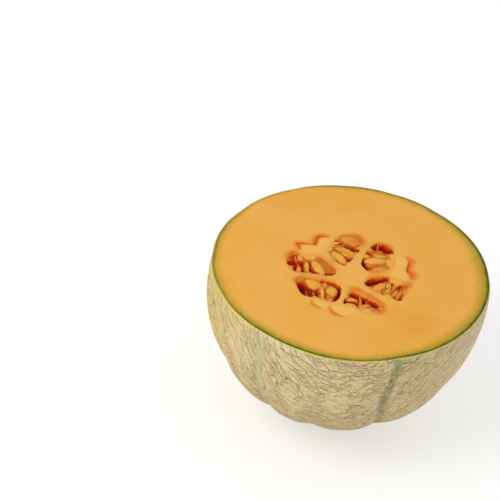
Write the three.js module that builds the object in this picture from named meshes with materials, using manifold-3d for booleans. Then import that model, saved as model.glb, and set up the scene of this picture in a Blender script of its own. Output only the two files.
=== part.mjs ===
// Charentais melon half: a netted, lobed rind and thick flesh, cut across above its widest ring,
// with six open seed pockets round a fleshy star in the middle of the cut face.
// Millimetres, +Z up. The half rests on a small flat spot with its cut face level and on top.
// The origin lies on the floor, under the middle of the widest ring.
import * as THREE from 'three';
import { mergeVertices } from 'three/addons/utils/BufferGeometryUtils.js';
import Module from 'manifold-3d';

const wasm = await Module();
wasm.setup();

// Body: an ellipse turned about its axis and pressed into lobes between its sutures. The cut
// isn't quite square to that axis, so with the cut face level the lower pole leans towards -X.
const widestRadius = 62.3;
const poleReach = 70;
const axisLean = THREE.MathUtils.degToRad(9.7);
const cutAboveWidest = 6.9;
const restSpotSink = 0.6;

// Each suture's bearing at the cut and low down, in degrees. The lobes between them are full low
// down and nearly flat at the cut.
const sutures = [
  [-122, -117], [-90, -87], [-64, -51], [-29, -14], [9, 15], [57, 57],
  [78, 78], [98, 98], [121, 121], [150, 150], [180, 180], [209, 212],
];
const sutureDriftFrom = 85;
const sutureDriftTo = 30;
const lobeRiseBase = 0.92;
const lobeRisePerDegree = 0.055;
const lobeFlatness = 1.8;
const lobeMeanSunk = 0.36;
const lobeShareAtCut = 0.12;
const lobeFlatFrom = 92;
const lobeFullBelow = 62;
const bodySides = 108;
const bodyRings = 22;
const latheEndAngle = THREE.MathUtils.degToRad(110);

const lowestReach = Math.hypot(widestRadius * Math.sin(axisLean), poleReach * Math.cos(axisLean));
const widestHeight = lowestReach - restSpotSink;
const cutHeight = widestHeight + cutAboveWidest;

// Seed pockets: they run down from the cut face, drawing in towards the middle of their star,
// which lies a little towards +X and -Y of the body's own middle
const starMiddle = [0.55, -0.67, 0];
const pocketDepth = 36;
const pocketSteps = 6;
const pocketFloorScale = 0.52;
const pocketSides = 22;
const aboveFace = 4;
const fillingGap = 0.5;
const fillingFloorGap = 0.4;
const pulpBelowFace = 1.8;
const hollowSides = 7;

// Seeds: flattened drops, the pointed end at the root
const seedThickness = 2.7;
const seedSidesAround = 8;
const seedRingsAlong = 5;
const seedRootTaper = 0.4;

// Cracks that edge the pulp heads, outside the pockets
const crackHalfWidth = 0.65;
const crackDepth = 3.2;
const crackSteps = 12;

// Each pocket's mouth is a smooth closed curve through its outline. Its seeds lie just under the
// cut, each given by its root, its tip, its width, the roll of its flat side in degrees and the
// depth of its top. Hollows go down into the pulp, each as wide as its radius about a short line,
// and each is given by the line's two ends, that radius and its depth.
const pockets = [
  {
    outline: [
      [-12, 11], [-9.5, 6.5], [-6, 3], [-3, 2], [-1, 5.5], [1, 10], [2.7, 15.5],
      [3.4, 21.5], [1, 25], [-3.5, 26], [-8, 23.5], [-9.5, 18.5],
    ],
    seeds: [
      [-9.3, 22.6, 2.8, 18.6, 7.4, 8, 0.5],
      [-9.4, 16.9, 1.6, 9.6, 5.4, 25, 0.8],
      [-10.8, 13.2, -2.6, 4.2, 4.6, 20, 0.15],
    ],
    hollows: [[-6.5, 17.9, 0.8, 14, 1.4, 6], [-1.7, 7, -1, 7.4, 1.1, 4]],
  },
  {
    outline: [
      [4, 4.5], [4.5, 10], [5.5, 14], [7.5, 19], [11, 22], [17, 18.5],
      [18.2, 13], [18, 6], [15.5, 2.3], [8, 0.3],
    ],
    seeds: [
      [18, 12.8, 6.5, 14.2, 4.6, 30, 1.2],
      [17.8, 9.8, 5.3, 7.9, 5.6, 10, 0.1],
      [17.9, 5.9, 8, 3.3, 4.8, 20, 0.5],
    ],
    hollows: [[9.6, 19, 15.6, 17.6, 2, 7], [5.2, 7.5, 5.2, 4.5, 1.1, 5], [5.8, 3.4, 7.3, 2.4, 1.5, 6]],
  },
  {
    outline: [
      [6.5, -8.5], [8.5, -5], [16, -1.8], [22, -3.3], [26.3, -4], [26.3, -11],
      [23.5, -17], [19, -16.3], [14.5, -14.5], [9.5, -11.5],
    ],
    seeds: [
      [17.2, -3.6, 9.4, -12, 4.8, 35, 0.2],
      [19.3, -5.5, 14.4, -14.2, 4.6, 65, 0.2],
      [22.2, -6, 18, -15.8, 4.6, 70, 0.3],
      [24, -5.8, 20.9, -16, 4.4, 75, 0.6],
      [25.1, -4.8, 24, -14.8, 4.2, 60, 0.1],
    ],
    hollows: [[8.2, -7.8, 15, -3.4, 1.5, 6], [22.1, -13.6, 22.4, -15.8, 0.9, 5]],
  },
  {
    outline: [
      [0, -13], [3, -12.5], [7, -15], [13.5, -19], [16, -24], [14.5, -28],
      [8, -28.3], [2.5, -25.6], [-1.2, -24.8], [-0.8, -18],
    ],
    seeds: [
      [11.2, -21, 4.9, -26.4, 4.2, 40, 0.6],
      [13.8, -22.8, 7.8, -27.6, 4, 60, 0.4],
      [14.8, -24.6, 10.8, -27.6, 3.4, 40, 0.6],
      [5.2, -20.5, -0.6, -20.3, 2.6, 0, 0.4],
    ],
    hollows: [
      [2.2, -16.4, 4, -18.2, 1.4, 6], [6.4, -18.6, 7.5, -21.6, 1.6, 7],
      [11.2, -20.4, 13.4, -23.4, 1.3, 6], [0, -22.9, 4, -22.7, 0.9, 5],
    ],
  },
  {
    outline: [
      [-24, -12.2], [-20, -9.7], [-12.5, -9.3], [-7, -10], [-4.2, -13], [-3.4, -17],
      [-4, -22], [-6.5, -25], [-12, -23.7], [-19.5, -22.8], [-23.5, -17.5],
    ],
    seeds: [
      [-20, -11.4, -12.4, -16.8, 6.4, 5, 0.1],
      [-12.6, -11.6, -10.8, -22.2, 4.4, 65, 0.3],
      [-7.8, -11.6, -7, -20.6, 5.8, 5, 0.2],
      [-9.2, -21.4, -5, -23.4, 3.4, 10, 0.6],
    ],
    hollows: [
      [-20.8, -16.4, -18.6, -18.8, 2.4, 7], [-19.2, -20.8, -17, -20.8, 1.4, 6],
      [-15, -18.2, -12.8, -21.4, 1.1, 6], [-4.4, -18, -5.6, -22.8, 0.8, 5],
    ],
  },
  {
    outline: [
      [-6.8, -3], [-9, -6.3], [-15.5, -6.9], [-25, -6.9], [-28.3, -3.5], [-28.8, 2],
      [-27.3, 6.5], [-23.5, 6.5], [-20, 4.4], [-17.5, 6.8], [-14, 6.8], [-10, 2.6],
    ],
    seeds: [
      [-15.4, 6, -8, -5, 6, -8, 1.5],
      [-18.6, 4.8, -11.2, -6.4, 4.8, 15, 0.1],
      [-20.8, 4.2, -19.4, -6.4, 4.2, 70, 0.1],
      [-23.6, 6, -22, -6.4, 4.4, 78, 0.6],
      [-25.6, 3, -24.2, -6, 4, 80, 1.2],
    ],
    hollows: [[-18.4, 0, -16.7, -4.8, 0.8, 6], [-26.6, 2.2, -26.6, -2.2, 1.4, 5]],
  },
];

const cracks = [
  [[-24.4, 10], [-26, 13], [-22, 14.3], [-18.4, 14.8], [-18, 19], [-16.5, 21.5], [-13.5, 22]],
  [[23.5, 13.8], [26, 12], [25.3, 6], [25.5, 3.5], [27, 0.5]],
  [[-15.4, -26.2], [-14.3, -28.3], [-12, -30], [-9, -30.5]],
  [[-7, -28.8], [-6, -31], [-3.5, -33.3], [0, -33.8], [3, -32]],
];

const materials = {
  melon: new THREE.MeshStandardMaterial({ color: 0xe6ab4e, roughness: 0.5, metalness: 0 }),
  seeds: new THREE.MeshStandardMaterial({ color: 0xdf9a3c, roughness: 0.35, metalness: 0 }),
};

function toSolid(geometry) {
  const bare = geometry.clone();
  bare.deleteAttribute('normal');
  bare.deleteAttribute('uv');
  const merged = mergeVertices(bare, 1e-4);
  return new wasm.Manifold(new wasm.Mesh({
    numProp: 3,
    vertProperties: new Float32Array(merged.attributes.position.array),
    triVerts: new Uint32Array(merged.index.array),
  }));
}

function toGeometry(solid) {
  const mesh = solid.getMesh();
  const geometry = new THREE.BufferGeometry();
  geometry.setAttribute('position', new THREE.BufferAttribute(mesh.vertProperties, 3));
  geometry.setIndex(new THREE.BufferAttribute(mesh.triVerts, 1));
  geometry.computeVertexNormals();
  return geometry;
}

// Leaves out the loose scraps that trimming a heap can cut off
function largestPiece(solid) {
  return solid.decompose().reduce((a, b) => (a.volume() > b.volume() ? a : b));
}

// How far the rind stands out of its mean radius: full between sutures, sunk on them. The polar
// angle is counted up from the lower pole.
function lobeLift(bearing, polar) {
  const drift = THREE.MathUtils.smoothstep(-polar, -sutureDriftFrom, -sutureDriftTo);
  const bearings = sutures.map(([atCut, lowDown]) => THREE.MathUtils.lerp(atCut, lowDown, drift));
  const start = bearings[0];
  const turned = THREE.MathUtils.euclideanModulo(bearing - start, 360) + start;
  const next = bearings.findIndex((suture) => suture > turned);
  const from = bearings.at(next < 0 ? -1 : next - 1);
  const to = next < 0 ? start + 360 : bearings[next];
  const across = (2 * (turned - from)) / (to - from) - 1;
  const rise = lobeRiseBase + lobeRisePerDegree * (to - from);
  const sunk = Math.sin((Math.PI / 2) * Math.abs(across) ** lobeFlatness) ** 2;
  const full = THREE.MathUtils.smoothstep(-polar, -lobeFlatFrom, -lobeFullBelow);
  return rise * (lobeMeanSunk - sunk) * THREE.MathUtils.lerp(lobeShareAtCut, 1, full);
}

// Lathe from the lower pole to above the cut, pressed into lobes, leant, set at its height and
// cut off level at the rest spot and at the cut face
function makeBody() {
  const profile = [];
  for (let ring = 0; ring <= bodyRings; ring += 1) {
    const angle = (latheEndAngle * ring) / bodyRings;
    profile.push(new THREE.Vector2(widestRadius * Math.sin(angle), -poleReach * Math.cos(angle)));
  }
  profile.push(new THREE.Vector2(0, profile.at(-1).y));
  const geometry = new THREE.LatheGeometry(profile, bodySides).rotateX(Math.PI / 2);
  const point = new THREE.Vector3();
  const position = geometry.attributes.position;
  for (let i = 0; i < position.count; i += 1) {
    point.fromBufferAttribute(position, i);
    const radius = Math.hypot(point.x, point.y);
    const bearing = THREE.MathUtils.radToDeg(Math.atan2(point.y, point.x));
    const polar = THREE.MathUtils.radToDeg(Math.atan2(radius / widestRadius, -point.z / poleReach));
    const grown = 1 + lobeLift(bearing, polar) / widestRadius;
    if (radius > 0) position.setXYZ(i, point.x * grown, point.y * grown, point.z);
  }
  geometry.rotateY(axisLean).translate(0, 0, widestHeight);
  return toSolid(geometry).trimByPlane([0, 0, 1], 0).trimByPlane([0, 0, -1], -cutHeight);
}

// Points round a closed smooth curve, moved inwards by inset
function outlineRing(outline, inset) {
  const corners = outline.map(([x, y]) => new THREE.Vector3(x, y, 0));
  const curve = new THREE.CatmullRomCurve3(corners, true, 'centripetal');
  const clockwise = THREE.ShapeUtils.isClockWise(corners);
  return Array.from({ length: pocketSides }, (_, i) => {
    const at = curve.getPoint(i / pocketSides);
    const along = curve.getTangent(i / pocketSides);
    const side = clockwise ? -1 : 1;
    return new THREE.Vector2(at.x - along.y * inset * side, at.y + along.x * inset * side);
  });
}

// A pocket's space from above the face down to its floor, scaled towards the axis on its way
function pocketSpace(outline, inset, floorRaise) {
  const shape = new THREE.Shape(outlineRing(outline, inset));
  const geometry = new THREE.ExtrudeGeometry(shape, {
    depth: 1, steps: pocketSteps, bevelEnabled: false,
  });
  const position = geometry.attributes.position;
  for (let i = 0; i < position.count; i += 1) {
    const down = 1 - position.getZ(i);
    const scale = down === 0 ? 1 : Math.sqrt(1 - (1 - pocketFloorScale ** 2) * down ** 2);
    const floorHeight = cutHeight - pocketDepth + floorRaise;
    const height = cutHeight + aboveFace - (cutHeight + aboveFace - floorHeight) * down;
    position.setXYZ(i, position.getX(i) * scale, position.getY(i) * scale, height);
  }
  return toSolid(geometry);
}

function crackSpace(corners) {
  const curve = new THREE.CatmullRomCurve3(
    corners.map(([x, y]) => new THREE.Vector3(x, y, 0)), false, 'centripetal');
  const outer = [];
  const inner = [];
  for (let i = 0; i <= crackSteps; i += 1) {
    const at = curve.getPoint(i / crackSteps);
    const along = curve.getTangent(i / crackSteps);
    const half = crackHalfWidth * Math.sqrt(Math.sin((Math.PI * i) / crackSteps));
    outer.push(new THREE.Vector2(at.x - along.y * half, at.y + along.x * half));
    if (i > 0 && i < crackSteps) {
      inner.unshift(new THREE.Vector2(at.x + along.y * half, at.y - along.x * half));
    }
  }
  const geometry = new THREE.ExtrudeGeometry(new THREE.Shape([...outer, ...inner]), {
    depth: crackDepth + aboveFace, bevelEnabled: false,
  });
  geometry.translate(0, 0, cutHeight - crackDepth);
  return toSolid(geometry);
}

// One seed laid from its root to its tip, its highest point the given depth under the cut face
function makeSeed([rootX, rootY, tipX, tipY, width, roll, depth]) {
  const geometry = new THREE.SphereGeometry(1, seedSidesAround, seedRingsAlong);
  const along = new THREE.Vector2(tipX - rootX, tipY - rootY);
  const position = geometry.attributes.position;
  for (let i = 0; i < position.count; i += 1) {
    const far = position.getY(i);
    const narrow = 1 - seedRootTaper * Math.max(0, -far) ** 0.7;
    position.setXYZ(i,
      position.getX(i) * narrow * (width / 2),
      far * (along.length() / 2),
      position.getZ(i) * narrow * (seedThickness / 2));
  }
  geometry.rotateY(THREE.MathUtils.degToRad(roll)).rotateZ(along.angle() - Math.PI / 2);
  geometry.translate((rootX + tipX) / 2, (rootY + tipY) / 2, 0);
  geometry.computeBoundingBox();
  return toSolid(geometry.translate(0, 0, cutHeight - depth - geometry.boundingBox.max.z));
}

function makeHollow([fromX, fromY, toX, toY, radius, depth]) {
  const ends = [[fromX, fromY], [toX, toY]].map(([x, y]) => {
    const geometry = new THREE.CylinderGeometry(radius, radius * 0.6, depth, hollowSides);
    return toSolid(geometry.rotateX(Math.PI / 2).translate(x, y, cutHeight - depth / 2));
  });
  return wasm.Manifold.hull(ends);
}

// A pocket's filling, kept clear of the pocket's walls: pulp with its hollows, and the seeds fused
// on it
function makeSeedCluster({ outline, seeds, hollows }) {
  const room = pocketSpace(outline, fillingGap, fillingFloorGap);
  const pulp = room.trimByPlane([0, 0, -1], pulpBelowFace - cutHeight)
    .subtract(wasm.Manifold.union(hollows.map(makeHollow)));
  return largestPiece(wasm.Manifold.union([pulp, ...seeds.map(makeSeed)]).intersect(room));
}

const melonHalf = new THREE.Group();
melonHalf.name = 'charentais_melon_half';

function addPiece(name, solid, material) {
  const mesh = new THREE.Mesh(toGeometry(solid), material);
  mesh.name = name;
  melonHalf.add(mesh);
}

const openings = [
  ...pockets.map(({ outline }) => pocketSpace(outline, 0, 0)),
  ...cracks.map(crackSpace),
];
const cavity = wasm.Manifold.union(openings).translate(starMiddle);
addPiece('melon_body', makeBody().subtract(cavity), materials.melon);
pockets.forEach((pocket, i) => {
  addPiece(`seed_cluster_${i + 1}`, makeSeedCluster(pocket).translate(starMiddle), materials.seeds);
});

export default melonHalf;
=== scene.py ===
# Charentais melon half: netted rind, cut flesh, seed pockets with their pulp and seeds
import math

import bmesh
import bpy
import numpy as np
from mathutils import Matrix, Vector, noise


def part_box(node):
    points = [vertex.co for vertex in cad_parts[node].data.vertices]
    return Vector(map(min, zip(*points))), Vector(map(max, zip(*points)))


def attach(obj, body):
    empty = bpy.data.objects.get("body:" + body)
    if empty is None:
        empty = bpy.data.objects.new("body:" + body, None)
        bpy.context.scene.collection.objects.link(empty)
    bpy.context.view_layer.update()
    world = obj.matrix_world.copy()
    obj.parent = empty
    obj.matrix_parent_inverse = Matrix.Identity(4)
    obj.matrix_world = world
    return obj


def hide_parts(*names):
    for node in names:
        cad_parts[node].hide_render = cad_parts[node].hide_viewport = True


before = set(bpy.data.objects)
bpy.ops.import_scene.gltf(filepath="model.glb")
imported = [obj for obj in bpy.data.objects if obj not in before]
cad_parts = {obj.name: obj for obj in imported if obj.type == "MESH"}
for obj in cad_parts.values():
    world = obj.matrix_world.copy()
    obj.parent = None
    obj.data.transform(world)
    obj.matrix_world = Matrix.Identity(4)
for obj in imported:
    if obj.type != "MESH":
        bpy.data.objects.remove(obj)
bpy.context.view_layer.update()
mm = 0.001


# small helpers for meshes

def asArray(values):
    return np.array(values, dtype=float)


def triangleCount(mesh):
    return len(mesh.loops) - 2 * len(mesh.polygons)


def putInScene(thing):
    bpy.context.scene.collection.objects.link(thing)
    return thing


def makeObject(name, mesh, material):
    mesh.materials.append(material)
    return putInScene(bpy.data.objects.new(name, mesh))


def finishMesh(bm, name, smooth=True):
    mesh = bpy.data.meshes.new(name)
    bm.to_mesh(mesh)
    bm.free()
    if smooth:
        mesh.shade_smooth()
    return mesh


def readPoints(mesh):
    points = np.empty(len(mesh.vertices) * 3)
    mesh.vertices.foreach_get("co", points)
    return points.reshape(-1, 3) / mm


def writePoints(mesh, points):
    mesh.vertices.foreach_set("co", (points * mm).ravel())
    mesh.update()


def placeVerts(verts, flat, height):
    # flat holds their places from above; one height serves all of them, or each has its own
    for vert, (x, y), z in zip(verts, flat, np.broadcast_to(height, len(verts))):
        vert.co = (x, y, z)


def writeAttributes(mesh, **tables):
    for name, values in tables.items():
        values = asArray(values)
        single = values.ndim == 1
        layer = mesh.attributes.new(name, "FLOAT" if single else "FLOAT_VECTOR", "POINT")
        layer.data.foreach_set("value" if single else "vector", values.ravel())


def smoothStep(low, high, value):
    part = np.clip((value - low) / (high - low), 0, 1)
    return part * part * (3 - 2 * part)


def noiseAt(points, size, seed=0):
    # one value between -1 and 1 for each point, features about size millimetres across
    shift = Vector((seed * 17.3, seed * 5.9, seed * 11.1))
    return asArray([noise.noise(Vector(p) / size + shift) for p in points])


# small helpers for node trees; each puts its node into the tree of the sockets it is given

def fillInputs(node, inputs):
    for key, value in inputs.items():
        if isinstance(value, bpy.types.NodeSocket):
            node.id_data.links.new(value, node.inputs[key])
        else:
            node.inputs[key].default_value = value


def addNode(tree, kind, inputs=None, **settings):
    node = tree.nodes.new(kind)
    for key, value in settings.items():
        setattr(node, key, value)
    fillInputs(node, inputs or {})
    return node


def math2(operation, first, second, clamp=False):
    tree = first.id_data if isinstance(first, bpy.types.NodeSocket) else second.id_data
    node = addNode(tree, "ShaderNodeMath", {0: first, 1: second}, operation=operation, use_clamp=clamp)
    return node.outputs[0]


def times(first, second):
    return math2("MULTIPLY", first, second)


def plus(first, second, clamp=False):
    return math2("ADD", first, second, clamp)


def ranged(value, low, high, toLow=0.0, toHigh=1.0):
    node = addNode(value.id_data, "ShaderNodeMapRange", {
        "Value": value, "From Min": low, "From Max": high, "To Min": toLow, "To Max": toHigh,
    }, interpolation_type="SMOOTHSTEP")
    return node.outputs["Result"]


def srgb(red, green, blue):
    # a colour read as 0 to 255 on screen, as Blender's linear values
    def linear(value):
        value /= 255
        return value / 12.92 if value <= 0.04045 else ((value + 0.055) / 1.055) ** 2.4
    return (linear(red), linear(green), linear(blue), 1.0)


def mixed(factor, first, second):
    node = addNode(factor.id_data, "ShaderNodeMix", {0: factor, 6: first, 7: second}, data_type="RGBA")
    return node.outputs[2]


def layered(colour, tones, layers):
    # lays colours one over another, each given by its share and by its name among the tones
    for share, tone in layers:
        colour = mixed(share, colour, tones[tone] if isinstance(tone, str) else tone)
    return colour


def noiseValue(vector, scale, detail=2.0, roughness=0.5):
    node = addNode(vector.id_data, "ShaderNodeTexNoise", {
        "Vector": vector, "Scale": scale, "Detail": detail, "Roughness": roughness,
    }, noise_dimensions="3D")
    return node.outputs[0]


def attribute(tree, name, output="Fac"):
    return addNode(tree, "ShaderNodeAttribute", attribute_name=name).outputs[output]


def newGroup(name, kind, inputs, outputs):
    # a node group, and the sockets inside it that stand for its named inputs and outputs
    tree = bpy.data.node_groups.new(name, kind)
    for way, sockets in (("INPUT", inputs), ("OUTPUT", outputs)):
        for socketName, socketKind in sockets.items():
            tree.interface.new_socket(socketName, in_out=way, socket_type="NodeSocket" + socketKind)
    return tree, addNode(tree, "NodeGroupInput").outputs, addNode(tree, "NodeGroupOutput").inputs


def newMaterial(name):
    material = bpy.data.materials.new(name)
    material.use_nodes = True
    return material, material.node_tree


# the melon's form, in millimetres: an ellipse turned about a leaning axis, pressed into lobes that
# are full low down and nearly flat at the cut; each suture has its bearing at the cut and low down
melonForm = {
    "widestRadius": 62.3,
    "poleReach": 70.0,
    "axisLean": math.radians(9.7),
    "cutAboveWidest": 6.9,
    "star": (0.55, -0.67),
    "sutures": (
        (-122, -117), (-90, -87), (-66, -47), (-29, -14), (9, 15), (57, 57),
        (78, 78), (98, 98), (121, 121), (150, 150), (180, 180), (209, 212),
    ),
    "sutureDepths": (0.8, 1, 1, 0.2, 1, 1, 1, 1, 1, 1, 1, 0.4),
    "lobeFullness": (1, 1, 1, 0.3, 1, 1, 1, 1, 1, 1, 1, 1.3),
    "lobeRiseBase": 0.92,
    "lobeRisePerDegree": 0.055,
    "lobeFlatness": 1.8,
    "lobeMeanSunk": 0.36,
    "lobeShareAtCut": 0.12,
    "fullerInFront": 0.9,
    "rindThickness": 0.55,
}
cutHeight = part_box("melon_body")[1][2] / mm
widestHeight = cutHeight - melonForm["cutAboveWidest"]
starMiddle = asArray([*melonForm["star"], cutHeight])


def sutureBearings(polar):
    drift = smoothStep(85, 30, polar)
    return [atCut + (lowDown - atCut) * drift for atCut, lowDown in melonForm["sutures"]]


def lobeLift(bearing, polar):
    bearings = sutureBearings(polar)
    turned = (bearing - bearings[0]) % 360 + bearings[0]
    lift = np.zeros(np.shape(turned))
    ends = bearings[1:] + [bearings[0] + 360]
    rises = [fullness * (melonForm["lobeRiseBase"] + melonForm["lobeRisePerDegree"] * (end - start))
             for start, end, fullness in zip(bearings, ends, melonForm["lobeFullness"])]
    lows = [(melonForm["lobeMeanSunk"] - 1) * (rises[k] + rises[k - 1]) / 2 * melonForm["sutureDepths"][k]
            for k in range(len(rises))]
    for k, (start, end) in enumerate(zip(bearings, ends)):
        part = 2 * (turned - start) / (end - start) - 1
        across = np.minimum(np.abs(part), 1)
        sunk = np.sin(math.pi / 2 * across ** melonForm["lobeFlatness"]) ** 2
        top = melonForm["lobeMeanSunk"] * rises[k]
        low = np.where(part < 0, lows[k], lows[(k + 1) % len(lows)])
        lift = np.where(np.abs(part) <= 1, top + (low - top) * sunk, lift)
    share = melonForm["lobeShareAtCut"]
    # the cut's edge is a little fuller in front
    away = (bearing + 90 + 180) % 360 - 180
    fuller = melonForm["fullerInFront"] * np.exp(-(away / 14) ** 2) * smoothStep(66, 92, polar)
    return lift * (share + (1 - share) * smoothStep(92, 62, polar)) + fuller


def bodyPoint(bearing, polar, inset=0.0):
    # polar is the angle up from the lower pole; all angles in degrees
    scale = 1 - inset / melonForm["widestRadius"]
    angle = np.radians(polar)
    radius = (melonForm["widestRadius"] + lobeLift(bearing, polar)) * scale * np.sin(angle)
    side = radius * np.cos(np.radians(bearing))
    depth = radius * np.sin(np.radians(bearing))
    height = -melonForm["poleReach"] * scale * np.cos(angle)
    lean = melonForm["axisLean"]
    return np.stack([
        side * math.cos(lean) + height * math.sin(lean),
        depth,
        widestHeight - side * math.sin(lean) + height * math.cos(lean),
    ], axis=-1)


def cutPolar(bearing, inset=0.0, height=None):
    # the polar angle at which a meridian reaches a height, the cut face if none is given, by halving
    height = cutHeight if height is None else height
    low = np.full(np.shape(bearing), 60.0)
    high = np.full(np.shape(bearing), 125.0)
    for _ in range(30):
        middle = (low + high) / 2
        below = bodyPoint(bearing, middle, inset)[..., 2] < height
        low = np.where(below, middle, low)
        high = np.where(below, high, middle)
    return (low + high) / 2


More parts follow.
